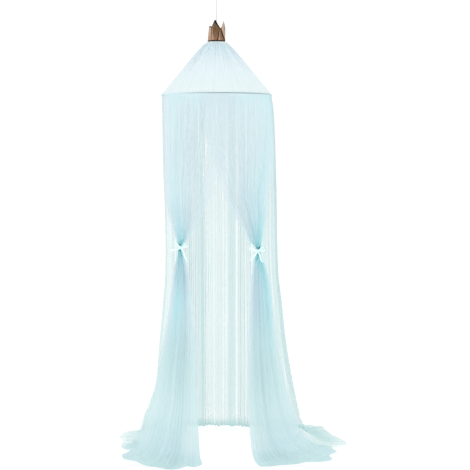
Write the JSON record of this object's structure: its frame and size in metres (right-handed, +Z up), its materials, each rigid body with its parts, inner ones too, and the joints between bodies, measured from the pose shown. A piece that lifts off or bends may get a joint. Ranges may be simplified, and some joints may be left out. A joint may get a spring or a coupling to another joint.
{
  "type": "mosquito net canopy with hoop",
  "caption": "Round mosquito net canopy with a conical top on a hoop, a zigzag crown at its neck, and long sheer curtains tied back in front that trail on the floor.",
  "frame": {"origin": "the inner top of the hanging loop, where the ceiling hook carries it", "axes": "+Z up along the hanging cord; -Y towards the open front; +X to the right as seen from the front"},
  "size_m": [1.2908, 0.7467, 2.5453],
  "materials": {
    "net": "sheer fine net",
    "top_cloth": "fine close-woven cloth",
    "hoop_band": "matt",
    "satin_ribbon": "satin ribbon",
    "copper": "folded copper-coloured foil",
    "cord": "twisted cord"
  },
  "bodies": {
    "root": {"cone_top": "top_cloth", "hoop": "hoop_band", "back_curtain": "net", "left_front_panel": "net", "right_front_panel": "net", "left_tie": "satin_ribbon", "right_tie": "satin_ribbon", "crown": "copper", "hanging_cord": "cord", "neck_knot": "cord", "hanging_knot": "cord", "hanging_loop": "cord"}
  },
  "joints": []
}
